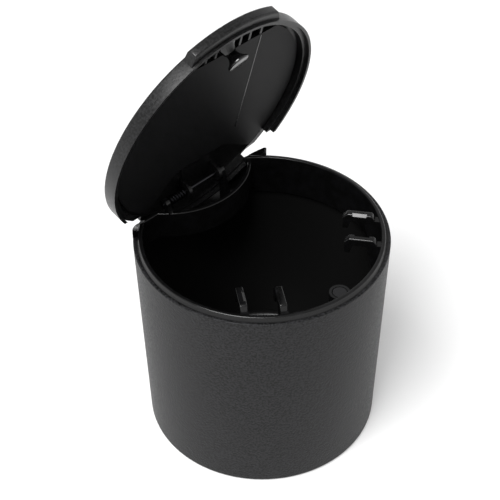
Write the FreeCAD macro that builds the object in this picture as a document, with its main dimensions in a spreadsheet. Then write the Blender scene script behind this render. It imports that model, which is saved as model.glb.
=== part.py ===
"""Ashtray that stands in a car's cup holder: grained cup, glossy rim ring and a sprung, hinged lid.

Millimetres, +Z up, origin at the centre of the cup's base. The hinge lies along X on the +Y side.
The lid is drawn shut and then turned open about the hinge pin, which is how the ashtray stands.
"""
import FreeCAD, Part
import math
import os
import re

import Sketcher

os.makedirs("parts", exist_ok=True)
doc = FreeCAD.newDocument("ashtray")
sizes = doc.addObject("Spreadsheet::Sheet", "Sizes")

# Driving sizes: name, number and meaning. Heights called rise or sink are counted from the cup's rim.
DRIVING = [
    ("rim_radius", 37.0, "outside of the cup at its rim"),
    ("base_radius", 35.18, "outside of the cup at its base"),
    ("cup_height", 67.9, "base to rim"),
    ("cup_wall", 1.6, "wall of the cup"),
    ("cup_floor", 2.0, "floor of the cup at its foot ring"),
    ("base_round", 1.15, "rounding of the outer base edge"),
    ("floor_round", 2.0, "rounding between floor and wall inside"),
    ("rim_round", 0.35, "rounding of the cup's outer rim edge"),
    ("foot_width", 4.18, "width of the foot ring under the cup"),
    ("foot_recess", 0.8, "depth of the hollow inside the foot ring"),
    ("notch_half", 19.7, "half width of the rear notch at the foot of its sides"),
    ("notch_flat_half", 13.0, "half width of the notch's level bottom"),
    ("notch_depth", 4.8, "depth of the notch in its middle"),
    ("notch_end_depth", 2.6, "depth of the notch at the foot of its sides"),
    ("ring_fit", 0.12, "gap between the ring's spigot and the cup"),
    ("lip_setback", 1.0, "step from the cup's outside in to the foot of the ring's lip"),
    ("lip_lean", 0.5, "lean of the lip's outside from its foot to its top"),
    ("lip_width", 1.24, "width of the lip at its top"),
    ("lip_height", 1.2, "rise of the lip"),
    ("lip_round", 0.35, "rounding of the lip's edges"),
    ("spigot_depth", 12.0, "depth of the spigot inside the cup"),
    ("guard_inset", 18.15, "front of the guard bow in from the cup's rear"),
    ("guard_shift", 4.4, "middle of the guard bow to the right of the centre line"),
    ("guard_radius", 25.0, "radius of the guard bow's front face"),
    ("guard_wall", 1.2, "wall of the guard bow"),
    ("guard_round", 0.35, "rounding of the guard's top edges"),
    ("return_place", 0.2, "front of the guard's straight left end behind the hinge axis"),
    ("return_wall", 0.9, "wall of that end"),
    ("bay_floor", 1.2, "thickness of the hinge bay's floor"),
    ("bay_sill", 6.2, "sink of the ring's rear wall behind the bay"),
    ("stop_gap", 0.35, "room left under the lid's tail when open"),
    ("ear_rise", 2.8, "rise of the ears' outer corners"),
    ("ear_run", 7.1, "width of the slope from the notch up over an ear"),
    ("ear_inset", 12.1, "front face of the ears in from the cup's rear"),
    ("post_left", 12.0, "centre of the left pin post from the centre line"),
    ("post_right", 10.2, "centre of the right pin post from the centre line"),
    ("post_width", 1.4, "thickness of a pin post"),
    ("post_head", 1.6, "radius of a post's head round the pin"),
    ("post_leg", 4.2, "depth of a post's leg"),
    ("post_clear", 0.4, "room between a leg and the lid's tail"),
    ("rest_azimuth", 44.1, "place of each pair of rests round the rim, from the front"),
    ("rest_heading", 35.0, "turn of the rest arms from straight back"),
    ("rest_pitch", 10.6, "distance between the arms of a pair"),
    ("arm_width", 2.2, "width of a rest arm"),
    ("arm_rise", 2.6, "rise of an arm's top"),
    ("arm_foot", 0.9, "rise of an arm's foot at the wall"),
    ("arm_reach", 10.4, "reach of an arm from the ring's wall"),
    ("arm_depth", 2.4, "depth of an arm's strap"),
    ("arm_shoulder", 1.9, "length of the foot before the arm's shoulder"),
    ("arm_drop", 5.2, "drop of an arm's tip below its top"),
    ("arm_tip", 1.6, "depth of an arm at its tip's end"),
    ("arm_round", 0.9, "rounding of an arm's shoulder and tip"),
    ("arm_edge", 0.45, "rounding along an arm's upper edges"),
    ("arm_brace", 8.5, "sink of the brace under an arm's root"),
    ("boss_inset", 6.8, "centre of the catch boss in from the cup's front"),
    ("boss_radius", 3.0, "outside of the catch boss"),
    ("boss_sink", 2.9, "sink of the boss's top"),
    ("boss_length", 8.0, "length of the boss"),
    ("magnet_radius", 2.0, "radius of the catch magnet"),
    ("magnet_length", 3.0, "length of the catch magnet"),
    ("magnet_gap", 0.25, "groove between the magnet and its boss"),
    ("hinge_inset", 9.24, "hinge axis in from the cup's rear"),
    ("hinge_rise", 2.28, "rise of the hinge axis"),
    ("open_angle", 73.6, "turn of the lid from shut to open, degrees"),
    ("pin_radius", 0.6, "radius of the hinge pin"),
    ("pin_overhang", 0.5, "pin beyond each post"),
    ("pin_fit", 0.03, "gap between the pin and its posts"),
    ("knuckle_fit", 0.07, "running gap between the pin and the lid's knuckles"),
    ("knuckle_gap", 1.6, "right knuckle in from the right post"),
    ("knuckle_width", 1.1, "thickness of a knuckle"),
    ("knuckle_head", 2.3, "radius of a knuckle round the pin"),
    ("lid_overhang", 0.13, "lid's outside beyond the cup's"),
    ("skirt_base", 0.3, "rise of the shut lid's lower edge"),
    ("skirt_top", 4.7, "rise of the shut lid's upper edge"),
    ("skirt_wall", 2.23, "wall of the lid's skirt"),
    ("lid_fit", 0.3, "room between the lid's lower lip and the ring's lip"),
    ("lip_clear", 0.3, "room above the ring's lip when shut"),
    ("dome_radius", 150.0, "radius of the lid's dome"),
    ("lid_wall", 1.3, "wall of the lid's dome"),
    ("lid_round", 0.6, "rounding of the lid's upper edge"),
    ("tail_spread", 0.6, "lid's tail beyond the foot of the notch's sides"),
    ("tail_room", 0.9, "room between the tail's skirt and the guard on the left"),
    ("chord_tail", 1.15, "rear edge of the lid beside its tail, behind the hinge axis"),
    ("ear_gap", 3.6, "rear end of the skirt in front of the ears"),
    ("ear_clear", 0.7, "room between the ears and the lid above them"),
    ("tab_reach", 2.6, "thumb tab beyond the skirt"),
    ("tab_root_half", 16.2, "half width of the tab at the skirt"),
    ("tab_end_half", 14.0, "half width of the tab at its edge"),
    ("tab_base", 1.1, "rise of the tab's lower face"),
    ("tab_step", 0.5, "tab's upper face below the lid's upper edge"),
    ("tab_round", 0.7, "rounding of the tab's edges"),
    ("rib_first", 4.5, "first rib of the front pocket from the centre line"),
    ("rib_second", 8.1, "second rib from the centre line"),
    ("rib_third", 12.5, "third rib from the centre line"),
    ("rib_width", 0.8, "thickness of a front rib"),
    ("liner_fit", 0.46, "room between the liner and the inside of the ring's lip"),
    ("liner_drop", 1.55, "liner's lower face below the lid's upper edge"),
    ("liner_wall", 0.9, "wall of the liner"),
    ("cut_lead", 2.55, "front of the liner's rear cut-out in front of the guard"),
    ("cut_left", 9.0, "left end of the cut-out's straight front from the centre line"),
    ("cut_right", 9.7, "right end of that front from the centre line"),
    ("cut_depth", 6.9, "depth over which the cut-out's slants are counted"),
    ("cut_left_run", 5.3, "run of the left slant over that depth"),
    ("cut_right_run", 10.0, "run of the right slant over that depth"),
    ("cut_round", 6.0, "rounding of the cut-out's right corner"),
    ("panel_half", 13.0, "half width of the liner's sunk panel"),
    ("panel_margin", 5.3, "rear end of the sunk panel in front of the cut-out"),
    ("panel_depth", 0.3, "depth of the sunk panel"),
    ("stud_radius", 2.0, "radius of the studs that carry the liner"),
    ("stud_side", 17.5, "studs from the centre line"),
    ("stud_front", 14.0, "front studs in front of the cup's axis"),
    ("stud_rear", 8.0, "rear studs behind the cup's axis"),
    ("hook_offset", 0.6, "middle of the latch hook behind the middle of the magnet"),
    ("hook_neck", 1.5, "radius of the hook's waist"),
    ("hook_half", 3.35, "half width of the hook's foot and flange"),
    ("hook_depth", 2.8, "depth of the hook"),
    ("hook_foot", 0.8, "thickness of the foot and of the flange"),
    ("hook_room", 0.2, "room between the hook and the liner's front edge"),
    ("hook_gap", 0.5, "gap between the foot and the magnet when shut"),
    ("hook_drop", 0.3, "seat of the hook below the lid's upper edge"),
    ("spring_wire", 0.3, "radius of the spring wire"),
    ("spring_radius", 1.2, "middle radius of the spring's coil"),
    ("spring_pitch", 0.95, "distance between the spring's turns"),
    ("spring_turns", 6.0, "whole turns of the spring"),
    ("spring_room", 0.65, "room between the coil's ends and the pieces beside it"),
    ("spring_leg", 9.0, "length of the leg that lies along the lid"),
    ("spring_lift", 13.0, "angle of that leg from the shut lid's plane, degrees"),
    ("spring_seat", 0.25, "room between the spring's other leg and the guard"),
]

for row, (alias, number, meaning) in enumerate(DRIVING, 1):
    sizes.set(f"A{row}", meaning)
    sizes.set(f"B{row}", str(number))
    sizes.setAlias(f"B{row}", alias)
doc.recompute()
ALIASES = {alias for alias, number, meaning in DRIVING}

# Sizes that follow from the driving ones, so that pieces that meet go on meeting when one of them changes.
TIED = {
    "foot_radius": "base_radius - foot_width",
    "lip_foot": "rim_radius - lip_setback",
    "lip_crest": "lip_foot - lip_lean",
    "lip_inner": "lip_crest - lip_width",
    "spigot_top": "rim_radius - cup_wall - ring_fit",
    "spigot_taper": "(rim_radius - base_radius) / cup_height * spigot_depth",
    "bore_radius": "(lip_inner + spigot_top - spigot_taper) / 2",
    "hinge_back": "rim_radius - hinge_inset",
    "guard_centre": "rim_radius - guard_inset + guard_radius",
    "guard_inner": "guard_radius - guard_wall",
    "bay_half": "sqrt(guard_inner ^ 2 - (guard_centre - hinge_back) ^ 2)",
    "ear_front": "rim_radius - ear_inset",
    "ear_crest": "notch_half + ear_run",
    "boss_place": "rim_radius - boss_inset",
    "spring_start": "post_left - post_width / 2 - spring_room",
    "spring_leave": "180 - open_angle - spring_lift",
    "coil_length": "spring_pitch * (spring_turns + spring_leave / 360)",
    "knuckle_left": "spring_start - coil_length - spring_room - knuckle_width / 2",
    "knuckle_right": "post_right - knuckle_gap",
    "lid_radius": "rim_radius + lid_overhang",
    "skirt_inner": "lid_radius - skirt_wall",
    "lid_lip": "lip_foot + lid_fit",
    "tail_half": "notch_half + tail_spread",
    "tail_skirt_left": "bay_half - guard_shift - tail_room",
    "tail_skirt_right": "tail_half",
    "lid_chord": "hinge_back + chord_tail",
    "skirt_end": "ear_front - ear_gap",
    "tab_top": "skirt_top - tab_step",
    "liner_radius": "lip_inner - liner_fit",
    "liner_rise": "skirt_top - liner_drop",
    "hook_place": "boss_place - hook_offset",
    "hook_seat": "skirt_top - hook_drop",
    "liner_chord": "hook_place - hook_depth / 2 - hook_room",
    "cut_front": "rim_radius - guard_inset - cut_lead",
    "panel_back": "cut_front - panel_margin",
}
ROUND_STEPS = 3


def formula(term):
    """A formula with tied sizes written out, in the sheet's names, to which a document object can be bound."""
    def spelled(word):
        if word[0] in TIED:
            return f"({formula(TIED[word[0]])})"
        return "Sizes." + word[0] if word[0] in ALIASES else word[0]
    return re.sub(r"[a-z_]+", spelled, term)


def number_of(term):
    """What a formula comes to with the sheet's present numbers."""
    return float(sizes.evalExpression(formula(term)))


def bind(thing, terms):
    for path, term in terms.items():
        thing.setExpression(path, formula(term))
    return thing


def place_terms(x, y, z):
    return {"Placement.Base.x": x, "Placement.Base.y": y, "Placement.Base.z": z}


def block(name, corner, spans):
    piece = doc.addObject("Part::Box", name)
    bind(piece, dict(zip(("Length", "Width", "Height"), spans)))
    return bind(piece, place_terms(*corner))


def drum(name, radius, height, foot):
    piece = doc.addObject("Part::Cylinder", name)
    bind(piece, {"Radius": radius, "Height": height})
    return bind(piece, place_terms(*foot))


def rod(name, radius, length, start):
    """A cylinder along X."""
    piece = doc.addObject("Part::Cylinder", name)
    piece.Placement.Rotation = FreeCAD.Rotation(FreeCAD.Vector(0, 1, 0), 90)
    bind(piece, {"Radius": radius, "Height": length})
    return bind(piece, place_terms(*start))


def ball(name, radius, centre_height):
    piece = doc.addObject("Part::Sphere", name)
    bind(piece, {"Radius": radius})
    return bind(piece, place_terms("0", "0", centre_height))


def join(name, pieces):
    whole = doc.addObject("Part::MultiFuse", name)
    whole.Shapes = pieces
    whole.Refine = True
    return whole


def cut(name, base, tool):
    rest = doc.addObject("Part::Cut", name)
    rest.Base = base
    rest.Tool = tool
    return rest


def trim(name, piece, envelope):
    kept = doc.addObject("Part::Common", name)
    kept.Base = piece
    kept.Tool = envelope
    return kept


def body_of(name):
    return doc.addObject("PartDesign::Body", name)


def sketch_on(body, name, role, lift="0"):
    plane = next(feature for feature in body.Origin.OriginFeatures if feature.Role == role)
    sketch = body.newObject("Sketcher::SketchObject", name)
    sketch.AttachmentSupport = [(plane, "")]
    sketch.MapMode = "FlatFace"
    return bind(sketch, {"AttachmentOffset.Base.z": lift})


def outline(sketch, corners):
    """A closed outline whose corners are each held by two driven distances from the origin."""
    count = len(corners)
    for index in range(count):
        turns = (2 * math.pi * index / count, 2 * math.pi * (index + 1) / count)
        ends = [FreeCAD.Vector(math.cos(turn), math.sin(turn), 0) for turn in turns]
        sketch.addGeometry(Part.LineSegment(*ends))
    for index, corner in enumerate(corners):
        sketch.addConstraint(Sketcher.Constraint("Coincident", (index - 1) % count, 2, index, 1))
        for kind, term in zip(("DistanceX", "DistanceY"), corner):
            number = sketch.addConstraint(Sketcher.Constraint(kind, -1, 1, index, 1, 1.0))
            bind(sketch, {f"Constraints[{number}]": term})
    return sketch


def corner_points(x, z, radius, side):
    """A rounded upper corner of a section, from its wall to its top: the outer side is 1, the inner -1."""
    turns = [90 * step / ROUND_STEPS for step in range(ROUND_STEPS + 1)]
    return [(f"{x} - {side} * {radius} * (1 - cos({turn} deg))", f"{z} - {radius} * (1 - sin({turn} deg))")
            for turn in turns]


def turned(body, name, corners):
    """A solid turned about Z from its section in the XZ plane."""
    solid = body.newObject("PartDesign::Revolution", name)
    section = outline(sketch_on(body, name + "_section", "XZ_Plane"), corners)
    solid.Profile = section
    solid.ReferenceAxis = (section, ["V_Axis"])
    body.Tip = solid
    doc.recompute()
    return solid


def plate(body, name, role, corners, thickness):
    """A plate of even thickness, half of it on each side of an origin plane."""
    solid = body.newObject("PartDesign::Pad", name)
    solid.Profile = outline(sketch_on(body, name + "_outline", role), corners)
    solid.SideType = "Symmetric"
    bind(solid, {"Length": thickness})
    body.Tip = solid
    doc.recompute()
    return solid


def rounded(body, name, base, radius, wanted):
    """Rounds the edges of the last feature that pass a test."""
    edges = [f"Edge{number}" for number, edge in enumerate(base.Shape.Edges, 1) if wanted(edge)]
    fillet = body.newObject("PartDesign::Fillet", name)
    fillet.Base = (base, edges)
    bind(fillet, {"Radius": radius})
    body.Tip = fillet
    doc.recompute()
    return fillet


def softened(name, piece, radius, wanted):
    """Rounds the edges of a boolean that pass a test."""
    doc.recompute()
    fillet = doc.addObject("Part::Fillet", name)
    fillet.Base = piece
    numbers = [number for number, edge in enumerate(piece.Shape.Edges, 1) if wanted(edge)]
    fillet.Edges = [(number, radius, radius) for number in numbers]
    return fillet


def is_ring(edge, radius, height):
    """Whether an edge is a circle about Z with this radius and height."""
    if edge.Degenerated or not isinstance(edge.Curve, Part.Circle):
        return False
    curve = edge.Curve
    near = abs(curve.Radius - radius) < 0.01 and abs(curve.Center.z - height) < 0.01
    return near and math.hypot(curve.Center.x, curve.Center.y) < 0.01


# Cup

cup = body_of("cup")
cup_shell = turned(cup, "cup_shell", [
    ("0", "foot_recess"),
    ("foot_radius", "foot_recess"),
    ("foot_radius", "0"),
    ("base_radius", "0"),
    *corner_points("rim_radius", "cup_height", "rim_round", 1),
    ("rim_radius - cup_wall", "cup_height"),
    ("base_radius - cup_wall", "foot_recess + cup_floor"),
    ("0", "foot_recess + cup_floor"),
])
base_edge = rounded(cup, "base_edge", cup_shell, "base_round",
                    lambda edge: is_ring(edge, sizes.base_radius, 0))
inside_height = sizes.foot_recess + sizes.cup_floor
floor_edge = rounded(cup, "floor_edge", base_edge, "floor_round",
                     lambda edge: is_ring(edge, sizes.base_radius - sizes.cup_wall, inside_height))
notch = cup.newObject("PartDesign::Pocket", "rear_notch")
notch.Profile = outline(sketch_on(cup, "rear_notch_outline", "XZ_Plane"), [
    ("-1 * ear_crest", "cup_height + ear_rise"),
    ("-notch_half", "cup_height - notch_end_depth"),
    ("-notch_flat_half", "cup_height - notch_depth"),
    ("notch_flat_half", "cup_height - notch_depth"),
    ("notch_half", "cup_height - notch_end_depth"),
    ("ear_crest", "cup_height + ear_rise"),
])
notch.Type = "ThroughAll"
cup.Tip = notch
doc.recompute()
if notch.Shape.CenterOfGravity.y > floor_edge.Shape.CenterOfGravity.y:
    notch.Reversed = True

# Rim ring: lip and spigot

ring_turning = body_of("ring_turning")
LIP_TOP = "cup_height + lip_height"
inner_lip = corner_points("lip_inner", LIP_TOP, "lip_round", -1)
outer_lip = corner_points("lip_crest", LIP_TOP, "lip_round", 1)
turned(ring_turning, "ring_section", inner_lip + outer_lip[::-1] + [
    ("lip_foot", "cup_height"),
    ("spigot_top", "cup_height"),
    ("spigot_top - spigot_taper", "cup_height - spigot_depth"),
    ("lip_inner - spigot_taper", "cup_height - spigot_depth"),
])
rear_gap = body_of("rear_gap")
plate(rear_gap, "rear_gap_pad", "XZ_Plane", [
    ("-1 * ear_crest", "cup_height + ear_rise"),
    ("-notch_half", "cup_height - notch_end_depth"),
    ("-notch_half", "cup_height - bay_sill"),
    ("notch_half", "cup_height - bay_sill"),
    ("notch_half", "cup_height - notch_end_depth"),
    ("ear_crest", "cup_height + ear_rise"),
], "rim_radius")
bind(rear_gap, place_terms("0", "hinge_back - pin_radius + rim_radius / 2", "0"))
open_ring = cut("open_ring", ring_turning, rear_gap)
ring_bore = drum("ring_bore", "bore_radius", "2 * cup_height", ("0", "0", "0"))

# Rim ring: hinge bay, closed to the front by the guard bow and below by its floor

TAIL_DROP = ("((lid_radius - hinge_back) * sin(open_angle * 1 deg)"
             " + (hinge_rise - skirt_base) * cos(open_angle * 1 deg) - hinge_rise)")
BAY_DEPTH = f"({TAIL_DROP} + stop_gap)"
BAY_FOOT = f"cup_height - {BAY_DEPTH} - bay_floor"
guard_tub = body_of("guard_tub")
guard_front = corner_points("guard_radius", "cup_height", "guard_round", 1)
guard_back = corner_points("guard_inner", "cup_height", "guard_round", -1)
guard_top = guard_front + guard_back[::-1]
turned(guard_tub, "guard_section", [("0", BAY_FOOT), ("guard_radius", BAY_FOOT)] + guard_top + [
    ("guard_inner", f"cup_height - {BAY_DEPTH}"),
    ("0", f"cup_height - {BAY_DEPTH}"),
])
bind(guard_tub, place_terms("guard_shift", "guard_centre", "0"))
RETURN_SPAN = "rim_radius - bay_half + guard_shift"
RETURN_BACK = "hinge_back + return_place + return_wall"
guard_return = body_of("guard_return")
return_front = corner_points("(hinge_back + return_place)", "cup_height", "guard_round", -1)
plate(guard_return, "return_pad", "YZ_Plane", [("hinge_back + return_place", BAY_FOOT)] + return_front + [
    (RETURN_BACK, "cup_height"),
    (RETURN_BACK, BAY_FOOT),
], RETURN_SPAN)
bind(guard_return, place_terms(f"({RETURN_SPAN}) / 2 - rim_radius", "0", "0"))
tail_space = block("tail_space", ("-rim_radius", RETURN_BACK, f"cup_height - {BAY_DEPTH}"),
                   (RETURN_SPAN, "rim_radius", f"{BAY_DEPTH} + guard_wall"))
bay_tub = cut("bay_tub", guard_tub, tail_space)
hinge_bay = trim("hinge_bay", join("bay_walls", [bay_tub, guard_return]), ring_bore)

# Rim ring: ears at the ends of the hinge, on the rim and sloping down towards the centre line

ears = []
for side, sign in (("left", "-1 * "), ("right", "")):
    ear_body = body_of(f"ear_{side}_wedge")
    plate(ear_body, f"ear_{side}", "XZ_Plane", [
        (f"{sign}notch_half", "cup_height - notch_end_depth"),
        (f"{sign}rim_radius", "cup_height - notch_end_depth"),
        (f"{sign}rim_radius", "cup_height + ear_rise"),
        (f"{sign}ear_crest", "cup_height + ear_rise"),
    ], "2 * rim_radius")
    ears.append(ear_body)
ear_band = cut("ear_band", drum("ear_outside", "rim_radius", "ear_rise", ("0", "0", "cup_height")),
               drum("ear_inside", "lip_inner", "ear_rise", ("0", "0", "cup_height")))
ear_sector = trim("ear_sector", ear_band, block("ear_space", ("-rim_radius", "ear_front", "cup_height"),
                                                ("2 * rim_radius", "rim_radius", "ear_rise")))
ear_pair = trim("ear_pair", ear_sector, join("ear_wedges", ears))

# Rim ring: pin posts, standing on the bay's floor in front of the path of the lid's tail

HINGE_HEIGHT = "cup_height + hinge_rise"
post_heads = []
post_legs = []
for side, middle in (("left", "-1 * post_left"), ("right", "post_right")):
    head = rod(f"post_head_{side}", "post_head", "post_width",
               (f"{middle} - post_width / 2", "hinge_back", HINGE_HEIGHT))
    leg_body = body_of(f"post_leg_{side}_body")
    plate(leg_body, f"post_leg_{side}", "YZ_Plane", [
        ("hinge_back - post_clear", f"cup_height - {BAY_DEPTH}"),
        ("hinge_back - post_clear", HINGE_HEIGHT),
        ("hinge_back - post_head", HINGE_HEIGHT),
        ("hinge_back - post_clear - post_leg", f"cup_height - {BAY_DEPTH}"),
    ], "post_width")
    bind(leg_body, place_terms(middle, "0", "0"))
    post_heads.append(head)
    post_legs.append(leg_body)
bay_envelope = drum("bay_envelope", "guard_radius", "2 * cup_height", ("guard_shift", "guard_centre", "0"))
post_feet = trim("post_feet", join("post_group", post_legs), bay_envelope)
post_bore = rod("post_bore", "pin_radius + pin_fit", "2 * rim_radius",
                ("-rim_radius", "hinge_back", HINGE_HEIGHT))

# Rim ring: four rest arms in two mirrored pairs, each rising from the wall and ending in a downturned tip


def arm_root(offset):
    """Where an arm's middle line, this far to the side of its pair's, meets the ring's wall (+X pair)."""
    azimuth = math.radians(sizes.rest_azimuth)
    heading = math.radians(sizes.rest_heading)
    wall = number_of("lip_inner")
    along = FreeCAD.Vector(-math.sin(heading), math.cos(heading), 0)
    across = FreeCAD.Vector(math.cos(heading), math.sin(heading), 0)
    middle = FreeCAD.Vector(math.sin(azimuth), -math.cos(azimuth), 0) * wall
    start = middle + across * offset
    back = start.dot(along)
    return start - along * (back + math.sqrt(back ** 2 - start.dot(start) + wall ** 2))


def at_crest(edge):
    return abs(edge.CenterOfMass.z - sizes.cup_height - sizes.arm_rise) < 0.01


arms = []
for side, mirror in (("left", -1), ("right", 1)):
    for place, offset in (("inner", -sizes.rest_pitch / 2), ("outer", sizes.rest_pitch / 2)):
        name = f"rest_arm_{side}_{place}"
        arm_body = body_of(name + "_body")
        strap = plate(arm_body, name, "XZ_Plane", [
            ("-cup_wall / 2", "cup_height - arm_brace"),
            ("-cup_wall / 2", "cup_height + arm_foot"),
            ("arm_shoulder - arm_foot", "cup_height + arm_foot"),
            ("arm_shoulder", "cup_height + arm_rise"),
            ("arm_reach - arm_depth / 2", "cup_height + arm_rise"),
            ("arm_reach", "cup_height + arm_rise - arm_depth / 2"),
            ("arm_reach", "cup_height + arm_rise - arm_drop"),
            ("arm_reach - arm_tip", "cup_height + arm_rise - arm_drop"),
            ("arm_reach - arm_depth", "cup_height + arm_rise - arm_depth"),
            ("arm_shoulder + arm_depth", "cup_height + arm_rise - arm_depth"),
            ("arm_shoulder", "cup_height - arm_brace"),
        ], "arm_width")
        shoulder = rounded(arm_body, name + "_shoulder", strap, "arm_round",
                           lambda edge: at_crest(edge) and edge.Length < sizes.arm_width + 0.01)
        rounded(arm_body, name + "_edges", shoulder, "arm_edge",
                lambda edge: at_crest(edge) and edge.Length > sizes.arm_width + 0.01)
        root = arm_root(offset)
        turn = 90 + mirror * sizes.rest_heading
        arm_body.Placement = FreeCAD.Placement(FreeCAD.Vector(mirror * root.x, root.y, 0),
                                               FreeCAD.Rotation(FreeCAD.Vector(0, 0, 1), turn))
        arms.append(arm_body)
rest_arms = trim("rest_arms", join("arm_group", arms), ring_bore)

# Rim ring: catch boss at the front, held to the wall by a web, with the magnet's pocket in its top

BOSS_TOP = "cup_height - boss_sink"
boss = drum("boss", "boss_radius", "boss_length", ("0", "-boss_place", f"{BOSS_TOP} - boss_length"))
boss_web = block("boss_web", ("-boss_radius / 2", "-rim_radius", f"{BOSS_TOP} - boss_length"),
                 ("boss_radius", "boss_inset", "boss_length - boss_radius / 3"))
boss_stand = trim("boss_stand", boss_web, ring_bore)
magnet_pocket = drum("magnet_pocket", "magnet_radius + magnet_gap", "magnet_length + 1",
                     ("0", "-boss_place", f"{BOSS_TOP} - magnet_length"))

ring_pieces = [open_ring, hinge_bay, ear_pair, boss, boss_stand, rest_arms, post_feet] + post_heads
ring_whole = join("ring_whole", ring_pieces)
rim_ring = cut("rim_ring", ring_whole, join("ring_holes", [post_bore, magnet_pocket]))

catch_magnet = drum("catch_magnet", "magnet_radius", "magnet_length",
                    ("0", "-boss_place", f"{BOSS_TOP} - magnet_length"))

# Hinge pin, through both posts and the lid's knuckles

hinge_pin = rod("hinge_pin", "pin_radius", "post_left + post_right + post_width + 2 * pin_overhang",
                ("-post_left - post_width / 2 - pin_overhang", "hinge_back", HINGE_HEIGHT))

# Lid, drawn shut: rises are counted from the cup's rim, and the finished pieces are turned open

hinge_point = FreeCAD.Vector(0, number_of("hinge_back"), number_of(HINGE_HEIGHT))
opened = FreeCAD.Placement(FreeCAD.Vector(), FreeCAD.Rotation(FreeCAD.Vector(1, 0, 0), -sizes.open_angle),
                           hinge_point)
DOME_CENTRE = "cup_height + skirt_top - sqrt(dome_radius ^ 2 - lid_radius ^ 2)"
LID_FOOT = "cup_height + skirt_base"
LID_SPAN = "2 * skirt_top + dome_radius - sqrt(dome_radius ^ 2 - lid_radius ^ 2)"


def dome_part(name, radius, wall, foot):
    """A round blank that ends in the dome, or in the dome less a wall."""
    blank = drum(name + "_drum", radius, LID_SPAN, ("0", "0", foot))
    return trim(name, blank, ball(name + "_ball", f"dome_radius - {wall}", DOME_CENTRE))


lid_blank = dome_part("lid_blank", "lid_radius", "0", LID_FOOT)
lid_outside = softened("lid_outside", lid_blank, sizes.lid_round,
                       lambda edge: is_ring(edge, number_of("lid_radius"), sizes.cup_height + sizes.skirt_top))
lid_hollow = dome_part("lid_hollow", "skirt_inner", "lid_wall", "cup_height")
lid_rabbet = drum("lid_rabbet", "lid_lip", "lip_height + lip_clear", ("0", "0", "cup_height"))

# Lid: thumb tab, a band round the front of the skirt with slanted ends

tab_wedge = body_of("tab_wedge")
tab_plan = plate(tab_wedge, "tab_plan", "XY_Plane", [
    ("-tab_root_half", "-tab_root_half"),
    ("-tab_root_half", "0 - sqrt(lid_radius ^ 2 - tab_root_half ^ 2)"),
    ("-tab_end_half", "-lid_radius - tab_reach"),
    ("tab_end_half", "-lid_radius - tab_reach"),
    ("tab_root_half", "0 - sqrt(lid_radius ^ 2 - tab_root_half ^ 2)"),
    ("tab_root_half", "-tab_root_half"),
], "4 * cup_height")
tab_band = cut("tab_band", drum("tab_drum", "lid_radius + tab_reach", "tab_top - tab_base",
                                ("0", "0", "cup_height + tab_base")),
               drum("tab_core", "skirt_inner + lid_wall", "tab_top", ("0", "0", "cup_height")))
tab_blank = trim("tab_blank", tab_band, tab_wedge)
tab_start = number_of("lid_radius") + sizes.lip_clear
tab = softened("tab", tab_blank, sizes.tab_round,
               lambda edge: min(math.hypot(v.X, v.Y) for v in edge.Vertexes) > tab_start)

# Lid: ribs of the front pocket, knuckles, liner studs and the hook's seat, all ending in the dome

POCKET_BACK = "-liner_chord - lip_clear"
inner_work = []
for place in ("rib_first", "rib_second", "rib_third"):
    for side, sign in (("left", "-1"), ("right", "1")):
        inner_work.append(block(f"{place}_{side}",
                                (f"{sign} * {place} - rib_width / 2", "-lid_radius", "cup_height + liner_rise"),
                                ("rib_width", f"lid_radius + {POCKET_BACK}", LID_SPAN)))
for side, middle in (("left", "-1 * knuckle_left"), ("right", "knuckle_right")):
    edge_x = f"{middle} - knuckle_width / 2"
    inner_work.append(rod(f"knuckle_head_{side}", "knuckle_head", "knuckle_width",
                          (edge_x, "hinge_back", HINGE_HEIGHT)))
    inner_work.append(block(f"knuckle_web_{side}", (edge_x, "hinge_back - knuckle_head", HINGE_HEIGHT),
                            ("knuckle_width", "2 * knuckle_head", LID_SPAN)))
LINER_TOP = "cup_height + liner_rise + liner_wall"
for side, across in (("left", "-1 * stud_side"), ("right", "stud_side")):
    for place, along in (("front", "-1 * stud_front"), ("rear", "stud_rear")):
        inner_work.append(drum(f"stud_{side}_{place}", "stud_radius", LID_SPAN, (across, along, LINER_TOP)))
inner_work.append(block("hook_pad", ("-hook_half", "-hook_place - hook_depth / 2", "cup_height + hook_seat"),
                        ("2 * hook_half", "hook_depth", LID_SPAN)))
inner_envelope = dome_part("inner_envelope", "skirt_inner + lid_wall", "lid_wall / 2", "cup_height - lid_wall")
lid_inner_work = trim("lid_inner_work", join("inner_work", inner_work), inner_envelope)

# Lid: the skirt ends in front of the ears, and the edge beside the tail follows the hinge chord

side_cuts = []
for side, across in (("left", "-1 * ({} + lid_radius)"), ("right", "{}")):
    skirt_side = across.format(f"tail_skirt_{side}")
    side_cuts.append(block(f"ear_room_{side}", (skirt_side, "skirt_end", "cup_height"),
                           ("lid_radius", "lid_radius", "ear_rise + ear_clear")))
    side_cuts.append(block(f"chord_cut_{side}", (across.format("tail_half"), "lid_chord", "cup_height"),
                           ("lid_radius", "lid_radius", LID_SPAN)))
knuckle_bore = rod("knuckle_bore", "pin_radius + knuckle_fit", "2 * rim_radius",
                   ("-rim_radius", "hinge_back", HINGE_HEIGHT))
lid_shell = cut("lid_shell", join("lid_solid", [lid_outside, tab]),
                join("lid_spaces", [lid_hollow, lid_rabbet] + side_cuts))
lid_cover = cut("lid_cover", join("lid_fitted", [lid_shell, lid_inner_work]), knuckle_bore)

# Lid liner: a flat panel with a straight front edge, a sunk panel and a cut-out round the hinge

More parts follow.
